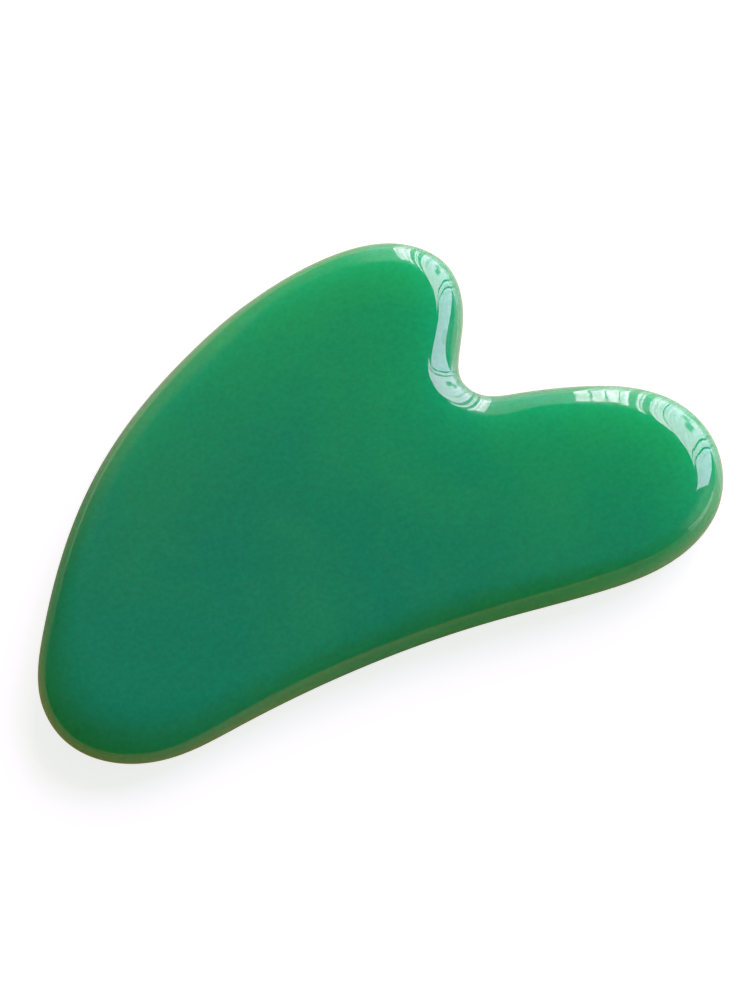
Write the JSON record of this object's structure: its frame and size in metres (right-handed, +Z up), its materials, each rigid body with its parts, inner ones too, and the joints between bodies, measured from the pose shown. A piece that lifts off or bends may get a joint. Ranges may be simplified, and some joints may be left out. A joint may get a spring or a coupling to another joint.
{
  "type": "gua sha scraper",
  "caption": "Flat heart-shaped stone massage scraper with a short and a long horn, a jaw notch between them and fully rounded edges.",
  "frame": {"origin": "centre of the bounding box in plan, on the lower flat face, which rests on the surface", "axes": "+X from the heel towards the long horn's tip, +Y towards the short horn, +Z up out of the upper flat face"},
  "size_m": [0.08, 0.049, 0.007],
  "materials": {
    "green_stone": "polished"
  },
  "bodies": {
    "root": {"scraper_board": "green_stone"}
  },
  "joints": []
}
